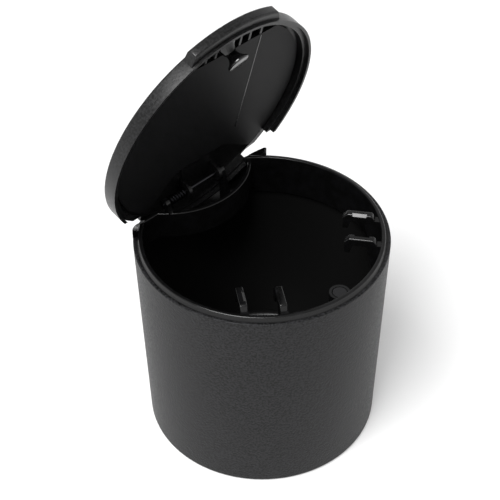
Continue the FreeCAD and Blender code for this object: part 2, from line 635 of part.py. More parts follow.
liner_disc = drum("liner_disc", "liner_radius", "liner_wall", ("0", "0", "cup_height + liner_rise"))
front_waste = block("front_waste", ("-lid_radius", "-lid_radius - liner_chord", "cup_height"),
                    ("2 * lid_radius", "lid_radius", "2 * skirt_top"))
hinge_waste = body_of("hinge_waste")
cut_pad = plate(hinge_waste, "cut_pad", "XY_Plane", [
    ("-cut_left", "cut_front"),
    ("cut_right", "cut_front"),
    ("cut_right + 2 * cut_right_run", "cut_front + 2 * cut_depth"),
    ("cut_right + 2 * cut_right_run", "cut_front + rim_radius"),
    ("-cut_left - 2 * cut_left_run", "cut_front + rim_radius"),
    ("-cut_left - 2 * cut_left_run", "cut_front + 2 * cut_depth"),
], "4 * cup_height")
rounded(hinge_waste, "cut_corner", cut_pad, "cut_round",
        lambda edge: math.hypot(edge.CenterOfMass.x - sizes.cut_right,
                                edge.CenterOfMass.y - number_of("cut_front")) < 0.01)
panel_waste = block("panel_waste", ("-panel_half", "-lid_radius", "cup_height"),
                    ("2 * panel_half", "lid_radius + panel_back", "liner_rise + panel_depth"))
lid_liner = cut("lid_liner", liner_disc, join("liner_waste", [front_waste, hinge_waste, panel_waste]))

# Latch hook: a waisted spool with flat front and back, from its seat down over the magnet

WAIST_STEPS = 6
HOOK_FOOT = f"{BOSS_TOP} + hook_gap"
HOOK_TOP = "cup_height + hook_seat"
WAIST = f"({HOOK_TOP} - ({HOOK_FOOT}) - 2 * hook_foot)"
waist = []
for step in range(WAIST_STEPS + 1):
    share = step / WAIST_STEPS
    waist.append((f"hook_neck + (hook_half - hook_neck) * {(2 * share - 1) ** 2}",
                  f"{HOOK_FOOT} + hook_foot + {WAIST} * {share}"))
hook_spool = body_of("hook_spool")
turned(hook_spool, "spool_section", [("0", HOOK_FOOT), ("hook_half", HOOK_FOOT)] + waist + [
    ("hook_half", HOOK_TOP),
    ("0", HOOK_TOP),
])
bind(hook_spool, place_terms("0", "-hook_place", "0"))
hook_space = block("hook_space", ("-hook_half", "-hook_place - hook_depth / 2", HOOK_FOOT),
                   ("2 * hook_half", "hook_depth", "boss_sink + hook_seat"))
latch_hook = trim("latch_hook", hook_spool, hook_space)

# Hinge spring: a coil on the pin, with one leg forward to the guard and one along the open lid

coil_path = doc.addObject("Part::Helix", "coil_path")
bind(coil_path, {"Pitch": "spring_pitch", "Radius": "spring_radius", "Height": "coil_length"})
wire_section = doc.addObject("Part::Circle", "wire_section")
wire_section.Placement.Rotation = FreeCAD.Rotation(FreeCAD.Vector(1, 0, 0), 90)
bind(wire_section, {"Radius": "spring_wire", "Placement.Base.x": "spring_radius"})
coil = doc.addObject("Part::Sweep", "coil")
coil.Sections = [wire_section]
coil.Spine = coil_path
coil.Solid = True
coil.Frenet = True
coil.Placement = FreeCAD.Placement(hinge_point - FreeCAD.Vector(number_of("spring_start"), 0, 0),
                                   FreeCAD.Rotation(FreeCAD.Vector(0, 1, 0), 90))
GUARD_BACK = "(guard_centre - sqrt(guard_inner ^ 2 - (guard_shift + spring_start) ^ 2))"
guard_leg = drum("guard_leg", "spring_wire", f"hinge_back - {GUARD_BACK} - spring_seat",
                 ("0 - spring_start", "hinge_back", f"{HINGE_HEIGHT} - spring_radius"))
guard_leg.Placement.Rotation = FreeCAD.Rotation(FreeCAD.Vector(1, 0, 0), 90)
lid_leg = drum("lid_leg", "spring_wire", "spring_leg",
               ("coil_length - spring_start",
                "hinge_back + spring_radius * sin(spring_leave * 1 deg)",
                f"{HINGE_HEIGHT} - spring_radius * cos(spring_leave * 1 deg)"))
lid_leg.Placement.Rotation = FreeCAD.Rotation(FreeCAD.Vector(1, 0, 0), number_of("spring_leave") - 90)
hinge_spring = join("hinge_spring", [coil, guard_leg, lid_leg])

for node in (lid_cover, lid_liner, latch_hook):
    node.Placement = opened
doc.recompute()

NODES = [cup, rim_ring, catch_magnet, hinge_pin, lid_cover, lid_liner, latch_hook, hinge_spring]
for item in doc.Objects:
    faults = [state for state in item.State if state in ("Invalid", "Error")]
    if faults:
        raise RuntimeError(f"{item.Name} failed: {faults}")
for node in NODES:
    if node.Shape.isNull() or not node.Shape.isValid():
        raise RuntimeError(f"{node.Name} has no valid shape")
for node in NODES:
    node.Label = node.Name
    node.Shape.exportStep(f"parts/{node.Name}.step")
    box = node.Shape.BoundBox
    print(f"{node.Name}: {len(node.Shape.Solids)} solid, {node.Shape.Volume / 1000:.3f} cm3, "
          f"X {box.XMin:.2f} {box.XMax:.2f}, Y {box.YMin:.2f} {box.YMax:.2f}, Z {box.ZMin:.2f} {box.ZMax:.2f}")
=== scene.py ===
# %% [markdown]
# A round ashtray for a car's cup holder, seen with its sprung lid open. The solids come from the packed
# frame, and this lesson gives them their looks. The frame is in metres, with +Z up, the hinge at the back (+Y)
# and the cup's base on the floor. The ashtray's own sizes are written in millimetres and multiplied by MM where
# they are used, and the studio's are in metres.
# The frame is loaded first, because every finish and every added piece depends on where its nodes are.

# %% Load the frame
import math

import bmesh
import bpy
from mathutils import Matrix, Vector


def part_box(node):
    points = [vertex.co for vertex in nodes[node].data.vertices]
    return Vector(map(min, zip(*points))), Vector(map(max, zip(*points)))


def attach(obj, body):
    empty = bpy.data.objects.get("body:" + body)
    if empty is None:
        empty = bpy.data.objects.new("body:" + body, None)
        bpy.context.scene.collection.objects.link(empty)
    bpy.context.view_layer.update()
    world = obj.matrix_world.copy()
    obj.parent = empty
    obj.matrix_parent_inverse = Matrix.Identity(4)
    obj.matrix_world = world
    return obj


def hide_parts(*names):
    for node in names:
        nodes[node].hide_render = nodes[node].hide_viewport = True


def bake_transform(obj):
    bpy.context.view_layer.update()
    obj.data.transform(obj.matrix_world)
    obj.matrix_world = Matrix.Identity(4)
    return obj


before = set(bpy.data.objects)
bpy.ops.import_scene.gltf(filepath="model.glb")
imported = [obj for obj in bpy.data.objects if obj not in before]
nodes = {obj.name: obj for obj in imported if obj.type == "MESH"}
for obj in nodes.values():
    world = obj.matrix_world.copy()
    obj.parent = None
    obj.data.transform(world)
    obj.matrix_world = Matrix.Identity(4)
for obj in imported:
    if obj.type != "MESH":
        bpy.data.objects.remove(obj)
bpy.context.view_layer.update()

MM = 0.001
print("nodes:", ", ".join(sorted(nodes)))

# %% [markdown]
# A few small helpers serve every finish. Colours are written as sRGB hex values, as a designer would pick
# them on a screen, and Blender wants linear light, so one function converts them. A second function adds one
# shader node with its settings, its socket values and its links, which keeps each finish short enough to read. A
# third turns a size in millimetres into a texture's scale, and the last puts a finish on a node of the frame.

# %% Helpers for materials


def linear(hex_colour):
    """An sRGB colour such as #1c1c1d as linear RGBA."""
    parts = [int(hex_colour[i:i + 2], 16) / 255 for i in (1, 3, 5)]
    return [p / 12.92 if p <= 0.04045 else ((p + 0.055) / 1.055) ** 2.4 for p in parts] + [1.0]


def add_node(tree, kind, values=(), links=(), **settings):
    """Adds a node. Values and links go to its inputs by name or number, and settings to the node itself."""
    node = tree.nodes.new(kind)
    for name, value in settings.items():
        setattr(node, name, value)
    for name, value in dict(values).items():
        node.inputs[name].default_value = value
    for name, output in dict(links).items():
        tree.links.new(output, node.inputs[name])
    return node


def per_metre(millimetres):
    """The scale that makes a texture repeat about once in this many millimetres."""
    return 1 / (millimetres * MM)


def dress(node_name, finish):
    """Puts this finish on a node of the frame, in the place of its plain one."""
    slots = nodes[node_name].data.materials
    slots.clear()
    slots.append(finish)


print("mid grey #808080 is", round(linear("#808080")[0], 3), "in linear light")

# %% [markdown]
# The cup is moulded in black ABS. Its tool was spark-eroded on the outside, so the wall carries a fine, even
# grain that scatters the light and hides scratches, while the core that makes the inside was only ground: the
# inside is smoother. The inside's plain, darker black is painted shade for the hollow of the cup. The flecks
# differ at random, and they are also paler on the grain's crests and darker in its pits, which is painted
# highlight and shade of the grain. A picture could give the grain, but a noise on Object coordinates has a true
# size in millimetres and needs no unwrapping. Inside and outside are told apart by the distance from the cup's
# axis, which follows the wall's draft. Spark grain is about a quarter of a millimetre; it is drawn a little over
# half a millimetre wide, so that it shows in the render.

# %% Finish: spark-grained ABS

ABS_IOR = 1.53
SPARK_GRAIN = 0.6
SPARK_DEPTH = 0.15
SPARK_GLOSS = {"To Min": 0.36, "To Max": 0.56}
SPARK_SHINE = 0.19
INSIDE_GLOSS = 0.3
# A noise stays near its middle. These spans of it are stretched to the whole range, the narrow one for clear flecks.
WIDE_SPAN = {"From Min": 0.3, "From Max": 0.7}
NARROW_SPAN = {"From Min": 0.38, "From Max": 0.62}
CUP_RIM = 37.0
CUP_BASE = 35.18
CUP_WALL = 1.6
cup_low, cup_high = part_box("cup")


def spark_grained_abs():
    """Black ABS, grained on the outside of the cup, and plain on its inside in a darker black that is painted shade.
    """
    material = bpy.data.materials.new("spark_grained_abs")
    material.use_nodes = True
    tree = material.node_tree
    shader = tree.nodes["Principled BSDF"]
    place = add_node(tree, "ShaderNodeTexCoord")
    across = add_node(tree, "ShaderNodeVectorMath", {1: (1, 1, 0)}, {0: place.outputs["Object"]},
                      operation="MULTIPLY")
    radius = add_node(tree, "ShaderNodeVectorMath", {}, {0: across.outputs["Vector"]}, operation="LENGTH")
    along = add_node(tree, "ShaderNodeSeparateXYZ", {}, {0: place.outputs["Object"]})
    mid_wall = add_node(tree, "ShaderNodeMapRange",
                        {"From Min": 0, "From Max": cup_high.z,
                         "To Min": (CUP_BASE - CUP_WALL / 2) * MM, "To Max": (CUP_RIM - CUP_WALL / 2) * MM},
                        {"Value": along.outputs["Z"]})
    outside = add_node(tree, "ShaderNodeMath", {},
                       {0: radius.outputs["Value"], 1: mid_wall.outputs["Result"]}, operation="GREATER_THAN")
    grain = add_node(tree, "ShaderNodeTexNoise", {"Scale": per_metre(SPARK_GRAIN), "Detail": 2.0},
                     {"Vector": place.outputs["Object"]})
    spark_gloss = add_node(tree, "ShaderNodeMapRange", WIDE_SPAN | SPARK_GLOSS, {"Value": grain.outputs["Fac"]})
    gloss = add_node(tree, "ShaderNodeMix", {"A": INSIDE_GLOSS},
                     {"Factor": outside.outputs[0], "B": spark_gloss.outputs["Result"]})
    spark_tone = add_node(tree, "ShaderNodeMapRange", NARROW_SPAN, {"Value": grain.outputs["Fac"]})
    # The flecks are paler where the grain stands high and darker in its pits: painted highlight and shade of the
    # grain.
    flecked = add_node(tree, "ShaderNodeMix", {"A": linear("#040404"), "B": linear("#272729")},
                       {"Factor": spark_tone.outputs["Result"]}, data_type="RGBA")
    # The inside gets a plain, darker black: painted shade for the hollow of the cup.
    tone = add_node(tree, "ShaderNodeMix", {"A": linear("#151515")},
                    {"Factor": outside.outputs[0], "B": flecked.outputs["Result"]}, data_type="RGBA")
    pits = add_node(tree, "ShaderNodeBump", {"Distance": SPARK_DEPTH * MM},
                    {"Height": grain.outputs["Fac"], "Strength": outside.outputs[0]})
    tree.links.new(tone.outputs["Result"], shader.inputs["Base Color"])
    tree.links.new(gloss.outputs["Result"], shader.inputs["Roughness"])
    tree.links.new(pits.outputs["Normal"], shader.inputs["Normal"])
    shader.inputs["IOR"].default_value = ABS_IOR
    shader.inputs["Specular IOR Level"].default_value = SPARK_SHINE
    return material


cup_finish = spark_grained_abs()
dress("cup", cup_finish)
print(f"cup finished in {cup_finish.name}, {(cup_high.z - cup_low.z) / MM:.1f} mm high")

# %% [markdown]
# The ring, the lid and the small mouldings are the same ABS from smoother tools. Polish leaves a slight
# waviness, and a satin tool leaves a soft sheen with a fine tooth. The tone differs at random with the tooth, and
# its crests are painted paler and its pits darker, which is painted highlight and shade of the tooth. One function
# makes them all: a finish is its two blacks, its roughness, its shine and the size of what texture is left. The
# liner shines least, as the photograph shows. The magnet's black coat reflects about as ABS does, so it shares
# the function.

# %% Finish: smoother ABS mouldings

GLOSS_SPREAD = 0.15
RELIEF_STRENGTH = 0.5


def moulded_abs(name, deep, pale, roughness, shine, texture, depth):
    """Black ABS from a polished or satin tool, with a texture of this size and depth in millimetres."""
    material = bpy.data.materials.new(name)
    material.use_nodes = True
    tree = material.node_tree
    shader = tree.nodes["Principled BSDF"]
    place = add_node(tree, "ShaderNodeTexCoord")
    tooth = add_node(tree, "ShaderNodeTexNoise", {"Scale": per_metre(texture), "Detail": 3.0},
                     {"Vector": place.outputs["Object"]})
    depth_share = add_node(tree, "ShaderNodeMapRange", NARROW_SPAN, {"Value": tooth.outputs["Fac"]})
    # The tone follows the tooth's height, pale on its crests and deep in its pits: painted highlight and shade of
    # the tooth.
    tone = add_node(tree, "ShaderNodeMix", {"A": linear(deep), "B": linear(pale)},
                    {"Factor": depth_share.outputs["Result"]}, data_type="RGBA")
    gloss = add_node(tree, "ShaderNodeMapRange",
                     {"To Min": roughness * (1 - GLOSS_SPREAD), "To Max": roughness * (1 + GLOSS_SPREAD)},
                     {"Value": depth_share.outputs["Result"]})
    relief = add_node(tree, "ShaderNodeBump", {"Strength": RELIEF_STRENGTH, "Distance": depth * MM},
                      {"Height": tooth.outputs["Fac"]})
    tree.links.new(tone.outputs["Result"], shader.inputs["Base Color"])
    tree.links.new(gloss.outputs["Result"], shader.inputs["Roughness"])
    tree.links.new(relief.outputs["Normal"], shader.inputs["Normal"])
    shader.inputs["IOR"].default_value = ABS_IOR
    shader.inputs["Specular IOR Level"].default_value = shine
    return material


# Each row: name, deep black painted in the tooth's pits as shade, pale black painted on its crests as highlight,
# roughness, shine, and the texture's size and depth in millimetres.
finishes = {
    "rim_ring": moulded_abs("polished_abs", "#0b0b0b", "#0f0f10", 0.22, 0.36, 3.0, 0.01),
    "lid_cover": moulded_abs("satin_abs", "#0a0a0a", "#202021", 0.34, 0.3, 0.6, 0.05),
    "lid_liner": moulded_abs("fine_satin_abs", "#131313", "#222223", 0.42, 0.05, 0.5, 0.03),
    "latch_hook": moulded_abs("gloss_abs", "#0b0b0b", "#111112", 0.13, 0.5, 2.0, 0.01),
    "catch_magnet": moulded_abs("black_plated_magnet", "#101011", "#1a1a1c", 0.35, 0.4, 0.5, 0.01),
}
for node_name, finish in finishes.items():
    dress(node_name, finish)
print("moulded finishes on", ", ".join(finishes))

# %% [markdown]
# The lid's dome is the first thing that is seen when the lid is shut, and it has to look like one smooth
# moulding. The solid's own mesh is loose triangles, whose shading pinches where they meet at the crown. So a
# copy of it is merged into one skin, which shades smoothly and keeps a crease only where the shape turns sharply.
# The helpers for that serve the other new pieces too.

# %% One skin for the lid

CREASE = math.radians(32)
MERGE_WITHIN = 0.001


def smooth(mesh):
    """Shades a mesh smoothly, apart from its creases."""
    mesh.shade_smooth()
    mesh.set_sharp_from_angle(angle=CREASE)


def put_in_scene(name, data):
    """A new object at the origin, with this mesh, light or camera."""
    thing = bpy.data.objects.new(name, data)
    bpy.context.scene.collection.objects.link(thing)
    return thing


def count_open_edges(skin):
    """The edges that don't have exactly two faces."""
    return sum(not edge.is_manifold for edge in skin.edges)


def one_skin(node_name, piece_name, finish):
    """A merged, smoothly shaded copy of a node, in its place and in this finish."""
    skin = bmesh.new()
    skin.from_mesh(nodes[node_name].data)
    loose = len(skin.verts)
    bmesh.ops.remove_doubles(skin, verts=skin.verts, dist=MERGE_WITHIN * MM)
    skin.verts.index_update()
    mesh = bpy.data.meshes.new(piece_name)
    mesh.from_pydata([v.co for v in skin.verts], [], [[v.index for v in face.verts] for face in skin.faces])
    smooth(mesh)
    mesh.materials.append(finish)
    print(f"{piece_name}: {loose} points merged to {len(skin.verts)}, {count_open_edges(skin)} open edges")
    skin.free()
    return put_in_scene(piece_name, mesh)


lid_shell = one_skin("lid_cover", "lid_shell", finishes["lid_cover"])
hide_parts("lid_cover")
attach(lid_shell, "lid")

# %% [markdown]
# The pin and the spring are drawn steel wire, blackened in hot oxide against rust. Drawing leaves fine lines
# along the wire, so the noise is stretched along X, which is the pin's length, and the oxide is a little
# thinner on the crests of those lines.

# %% Finish: blackened drawn steel

DRAWN_LINE = 0.12
DRAWN_LENGTH = 4.0
OXIDE_SPREAD = 0.2


def blackened_steel(name, deep, pale, roughness, line_length):
    """Drawn steel under black oxide, with lines of this length along X."""
    material = bpy.data.materials.new(name)
    material.use_nodes = True
    tree = material.node_tree
    shader = tree.nodes["Principled BSDF"]
    place = add_node(tree, "ShaderNodeTexCoord")
    stretch = add_node(tree, "ShaderNodeMapping",
                       {"Scale": (per_metre(line_length), per_metre(DRAWN_LINE), per_metre(DRAWN_LINE))},
                       {"Vector": place.outputs["Object"]})
    lines = add_node(tree, "ShaderNodeTexNoise", {"Scale": 1.0, "Detail": 2.0},
                     {"Vector": stretch.outputs["Vector"]})
    tone = add_node(tree, "ShaderNodeMix", {"A": linear(deep), "B": linear(pale)},
                    {"Factor": lines.outputs["Fac"]}, data_type="RGBA")
    spread = {"To Min": roughness * (1 - OXIDE_SPREAD), "To Max": roughness * (1 + OXIDE_SPREAD)}
    gloss = add_node(tree, "ShaderNodeMapRange", WIDE_SPAN | spread, {"Value": lines.outputs["Fac"]})
    tree.links.new(tone.outputs["Result"], shader.inputs["Base Color"])
    tree.links.new(gloss.outputs["Result"], shader.inputs["Roughness"])
    shader.inputs["Metallic"].default_value = 1.0
    return material


pin_finish = blackened_steel("blackened_steel_pin", "#333335", "#454548", 0.34, DRAWN_LENGTH)
dress("hinge_pin", pin_finish)
print("pin finished in", pin_finish.name)

# %% [markdown]
# The spring is one length of wire: a leg that pushes on the guard, six turns round the pin, and a leg that
# lifts the lid. Such a shape follows a rule, so Geometry Nodes wind it: a row of points is bent round the
# pin by its own numbering, the two end points are drawn out to the legs, and a round section is swept along.
# A sculpted or hand-placed coil would never be as even. Three small helpers come first, because every tree here
# needs them: one gives a tree its named inputs, one turns what the tree made into a plain mesh, and one sweeps a
# section along a curve.

# %% Helpers for Geometry Nodes


def new_tree(name, inputs):
    """A Geometry Nodes tree with these named inputs, each a socket kind, and one geometry output."""
    tree = bpy.data.node_groups.new(name, "GeometryNodeTree")
    for input_name, kind in inputs.items():
        tree.interface.new_socket(input_name, in_out="INPUT", socket_type=kind)
    tree.interface.new_socket("Geometry", in_out="OUTPUT", socket_type="NodeSocketGeometry")
    return tree


def grown(name, tree, values):
    """Runs the tree with these input values and keeps its result as a plain mesh at the origin."""
    piece = put_in_scene(name, bpy.data.meshes.new(name))
    modifier = piece.modifiers.new(name, "NODES")
    modifier.node_group = tree
    for socket in tree.interface.items_tree:
        if socket.in_out == "INPUT":
            modifier[socket.identifier] = values[socket.name]
    seen = piece.evaluated_get(bpy.context.evaluated_depsgraph_get())
    mesh = bpy.data.meshes.new_from_object(seen)
    smooth(mesh)
    piece.modifiers.clear()
    piece.data = mesh
    print(f"{name}: {len(mesh.polygons)} faces")
    return piece


def swept(tree, curve, section, finish):
    """Sweeps a section along a curve, in this finish, and makes it the tree's result."""
    tube = add_node(tree, "GeometryNodeCurveToMesh", {"Fill Caps": True},
                    {"Curve": curve, "Profile Curve": section})
    real = add_node(tree, "GeometryNodeRealizeInstances", {}, {"Geometry": tube.outputs["Mesh"]})
    dressed = add_node(tree, "GeometryNodeSetMaterial", {},
                       {"Geometry": real.outputs["Geometry"], "Material": finish})
    add_node(tree, "NodeGroupOutput", {}, {"Geometry": dressed.outputs["Geometry"]})


print("helpers for trees:", ", ".join(helper.__name__ for helper in (new_tree, grown, swept)))

# %% [markdown]
# The path is worked out from the point's number: its share of the turns gives an angle round the pin, and the
# angle gives the place. The first and the last point are the tips of the legs. The wire is a little duller
# than the pin, because oil stays between the turns. When the lid shuts, one leg stays with the cup, the other
# goes with the lid and the turns wind up evenly between them; here the wire is drawn in one pose only.

# %% Hinge spring

HINGE = Vector((0, 27.76, 70.18))
COIL_START = -10.65
COIL_RADIUS = 1.2
COIL_PITCH = 0.95
LID_LEG_ANGLE = math.radians(93.4)
COIL_TURNS = 6 + LID_LEG_ANGLE / math.tau
COIL_STEPS = 20
LEG_TIPS = 2
WIRE_RADIUS = 0.3
LID_LEG = 9.0
WIRE_SIDES = 10


def wound_wire():
    """A coil round X with two straight legs."""
    tree = new_tree("wound_wire", {
        "Start": "NodeSocketVector", "Coil Radius": "NodeSocketFloat", "Wire Radius": "NodeSocketFloat",
        "Length": "NodeSocketFloat", "Turn Angle": "NodeSocketFloat", "Points": "NodeSocketInt",
        "Guard Leg": "NodeSocketVector", "Lid Leg": "NodeSocketVector", "Finish": "NodeSocketMaterial"})
    given = add_node(tree, "NodeGroupInput").outputs
    number = add_node(tree, "GeometryNodeInputIndex")
    last = add_node(tree, "ShaderNodeMath", {1: 1}, {0: given["Points"]}, operation="SUBTRACT")
    coil_end = add_node(tree, "ShaderNodeMath", {1: 2}, {0: given["Points"]}, operation="SUBTRACT")
    share = add_node(tree, "ShaderNodeMapRange", {"From Min": 1},
                     {"Value": number.outputs["Index"], "From Max": coil_end.outputs[0]})
    angle = add_node(tree, "ShaderNodeMath", {}, {0: share.outputs["Result"], 1: given["Turn Angle"]},
                     operation="MULTIPLY")
    along = add_node(tree, "ShaderNodeMath", {}, {0: share.outputs["Result"], 1: given["Length"]},
                     operation="MULTIPLY")
    sine = add_node(tree, "ShaderNodeMath", {}, {0: angle.outputs[0]}, operation="SINE")
    cosine = add_node(tree, "ShaderNodeMath", {}, {0: angle.outputs[0]}, operation="COSINE")
    back = add_node(tree, "ShaderNodeMath", {}, {0: sine.outputs[0], 1: given["Coil Radius"]},
                    operation="MULTIPLY")
    drop = add_node(tree, "ShaderNodeMath", {}, {0: cosine.outputs[0], 1: given["Coil Radius"]},
                    operation="MULTIPLY")
    up = add_node(tree, "ShaderNodeMath", {1: -1}, {0: drop.outputs[0]}, operation="MULTIPLY")
    round_pin = add_node(tree, "ShaderNodeCombineXYZ", {},
                         {"X": along.outputs[0], "Y": back.outputs[0], "Z": up.outputs[0]})
    place = add_node(tree, "ShaderNodeVectorMath", {}, {0: round_pin.outputs[0], 1: given["Start"]},
                     operation="ADD")
    is_first = add_node(tree, "ShaderNodeMath", {1: 1}, {0: number.outputs["Index"]}, operation="LESS_THAN")
    before_last = add_node(tree, "ShaderNodeMath", {1: 0.5}, {0: last.outputs[0]}, operation="SUBTRACT")
    is_last = add_node(tree, "ShaderNodeMath", {}, {0: number.outputs["Index"], 1: before_last.outputs[0]},
                       operation="GREATER_THAN")
    guard_tip = add_node(tree, "ShaderNodeVectorMath", {}, {0: given["Guard Leg"], "Scale": is_first.outputs[0]},
                         operation="SCALE")
    lid_tip = add_node(tree, "ShaderNodeVectorMath", {}, {0: given["Lid Leg"], "Scale": is_last.outputs[0]},
                       operation="SCALE")
    legs = add_node(tree, "ShaderNodeVectorMath", {}, {0: guard_tip.outputs[0], 1: lid_tip.outputs[0]},
                    operation="ADD")
    path = add_node(tree, "ShaderNodeVectorMath", {}, {0: place.outputs[0], 1: legs.outputs[0]}, operation="ADD")
    points = add_node(tree, "GeometryNodePoints", {}, {"Count": given["Points"], "Position": path.outputs[0]})
    wire = add_node(tree, "GeometryNodePointsToCurves", {}, {"Points": points.outputs[0]})
    section = add_node(tree, "GeometryNodeCurvePrimitiveCircle", {"Resolution": WIRE_SIDES},
                       {"Radius": given["Wire Radius"]})
    swept(tree, wire.outputs[0], section.outputs["Curve"], given["Finish"])
    return tree


turn_angle = COIL_TURNS * math.tau
coil_length = COIL_PITCH * COIL_TURNS
coil_points = round(COIL_TURNS * COIL_STEPS) + 1
spring_low, spring_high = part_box("hinge_spring")
guard_leg = HINGE.y * MM - spring_low.y
lid_leg = Vector((0, math.cos(turn_angle), math.sin(turn_angle))) * LID_LEG * MM
spring = grown("wound_spring", wound_wire(), {
    "Start": (HINGE + Vector((COIL_START, 0, 0))) * MM, "Coil Radius": COIL_RADIUS * MM,
    "Wire Radius": WIRE_RADIUS * MM, "Length": coil_length * MM, "Turn Angle": turn_angle,
    "Points": coil_points + LEG_TIPS, "Guard Leg": (0, -guard_leg, 0), "Lid Leg": lid_leg,
    "Finish": blackened_steel("blackened_spring_wire", "#1c1c1e", "#2c2c2f", 0.4, DRAWN_LINE)})
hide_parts("hinge_spring")
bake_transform(spring)
corners = [Vector(v.co) for v in spring.data.vertices]
print("spring off its solid by at most, in mm:",
      [round(max(abs(f(c[i] for c in corners) - s[i]) for f, s in ((min, spring_low), (max, spring_high))) / MM, 2)
       for i in range(3)])

# %% [markdown]
# The liner is one even, satin panel. Its solid has a middle that is sunk by 0.3 mm, and the step round it would
# draw dark lines that the photograph doesn't show. A new panel could be drawn, but a merged copy keeps the
# solid's outline and cut-out, and only that floor has to come level with the rest. It moves along the lid's own
# upright, which leans back by the angle at which the lid stands open.

# %% Flush liner

OPEN_ANGLE = math.radians(73.6)
RIM_HEIGHT = 67.9
LINER_LEVEL = 3.15
PANEL_LEVEL = 3.45
LEVEL_WITHIN = 0.02


def make_flush(piece):
    """Brings the sunk floor of the liner to the level round it, and merges what then meets."""
    upright = Vector((0, math.sin(OPEN_ANGLE), math.cos(OPEN_ANGLE)))
    skin = bmesh.new()
    skin.from_mesh(piece.data)
    moved = 0
    for point in skin.verts:
        rise = (point.co / MM - HINGE).dot(upright) + HINGE.z - RIM_HEIGHT
        if abs(rise - PANEL_LEVEL) < LEVEL_WITHIN:
            point.co -= upright * (PANEL_LEVEL - LINER_LEVEL) * MM
            moved += 1
    bmesh.ops.remove_doubles(skin, verts=skin.verts, dist=MERGE_WITHIN * MM)
    print(f"{piece.name}: {moved} points made level, {count_open_edges(skin)} open edges")
    skin.to_mesh(piece.data)
    skin.free()
    smooth(piece.data)


liner = one_skin("lid_liner", "flush_liner", finishes["lid_liner"])
make_flush(liner)
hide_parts("lid_liner")
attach(liner, "lid")

# %% [markdown]
# Along the right of the liner the real moulding has a thin, polished land that draws a bright line from the
# catch to the hinge. A bevel on an edge would give no line that can be seen, so a low, flat section is swept along
# it. The lid stands open, so the land's ends are turned about the hinge by the same angle.

# %% Polished land on the liner

LAND_SIDE = 13.0
LAND_FRONT = -27.4
LAND_BACK = 10.9
LAND_WIDTH = 0.36
LAND_HEIGHT = 0.1
LAND_POINTS = 24


def on_open_lid(x, y, rise):
    """A point of the shut lid, in millimetres and its rise above the rim, moved to the open lid, in metres."""
    arm_y = y - HINGE.y
    arm_z = RIM_HEIGHT + rise - HINGE.z
    turned_y = arm_y * math.cos(OPEN_ANGLE) + arm_z * math.sin(OPEN_ANGLE)
    turned_z = arm_z * math.cos(OPEN_ANGLE) - arm_y * math.sin(OPEN_ANGLE)
    return Vector((x, HINGE.y + turned_y, HINGE.z + turned_z)) * MM


def straight_land():
    """A low rectangular strip between two points."""
    tree = new_tree("straight_land", {
        "Front": "NodeSocketVector", "Back": "NodeSocketVector", "Land Width": "NodeSocketFloat",
        "Land Height": "NodeSocketFloat", "Finish": "NodeSocketMaterial"})
    given = add_node(tree, "NodeGroupInput").outputs
    line = add_node(tree, "GeometryNodeCurvePrimitiveLine", {}, {"Start": given["Front"], "End": given["Back"]})
    even = add_node(tree, "GeometryNodeResampleCurve", {"Count": LAND_POINTS}, {"Curve": line.outputs["Curve"]})
    section = add_node(tree, "GeometryNodeCurvePrimitiveQuadrilateral", {},
                       {"Width": given["Land Width"], "Height": given["Land Height"]})
    swept(tree, even.outputs["Curve"], section.outputs["Curve"], given["Finish"])
    return tree


land = grown("liner_land", straight_land(), {
    "Front": on_open_lid(LAND_SIDE, LAND_FRONT, LINER_LEVEL),
    "Back": on_open_lid(LAND_SIDE, LAND_BACK, LINER_LEVEL),
    "Land Width": LAND_WIDTH * MM, "Land Height": LAND_HEIGHT * MM,
    "Finish": moulded_abs("polished_land_abs", "#101010", "#161617", 0.25, 0.5, 3.0, 0.01)})
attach(land, "lid")
land_box = [Vector(f(v.co[i] for v in land.data.vertices) for i in range(3)) for f in (min, max)]
print("land, in mm:", [round(c / MM, 2) for c in land_box[1] - land_box[0]])

# %% [markdown]
# The striker is a small polished spool under the lid's front, whose foot comes down over the magnet. Its solid
# is cut flat in front and behind, which is enough for the collision, and the real one is round. A round piece is
# drawn best as an outline that is turned about an axis, as on a lathe. The outline goes from the foot, with its
# rounded edge, along the waist to the flange, and each of its points is a radius and a depth below the seat.

# %% Striker: outline

WAIST_RADIUS, WAIST_END = 1.6, 2.9
WAIST_LOW, WAIST_HIGH = 5.3, 0.9
WAIST_STEPS = 14

foot_outline = [(2.75, 6.2), (2.95, 6.18), (3.15, 6.1), (3.28, 5.95), (3.3, 5.7), (3.2, 5.5), (3.0, 5.4)]
waist_outline = []
for step in range(WAIST_STEPS + 1):
    share = step / WAIST_STEPS
    waist_outline.append((WAIST_RADIUS + (WAIST_END - WAIST_RADIUS) * (2 * share - 1) ** 2,
                          WAIST_LOW + (WAIST_HIGH - WAIST_LOW) * share))
flange_outline = [(3.2, 0.8), (3.35, 0.6), (3.35, 0.1), (3.25, 0.0)]
striker_outline = foot_outline + waist_outline + flange_outline
print(f"striker outline: {len(striker_outline)} points, waist {2 * WAIST_RADIUS} mm across")

# %% [markdown]
# The spool leans a little towards the hinge, so that the photograph shows only the edge of its foot. Its seat
# stays level, so the lean grows from the flange to the foot. Behind, at the level of the liner, the flange
# is flattened to stay clear of it.

# %% Striker: turned

STRIKER_Y = -29.6
STRIKER_SEAT = 4.4
STRIKER_LENGTH = 6.2
STRIKER_LEAN = math.radians(16)
STRIKER_SIDES = 48
LINER_FRONT = -28.2
LINER_CLEAR = 2.9


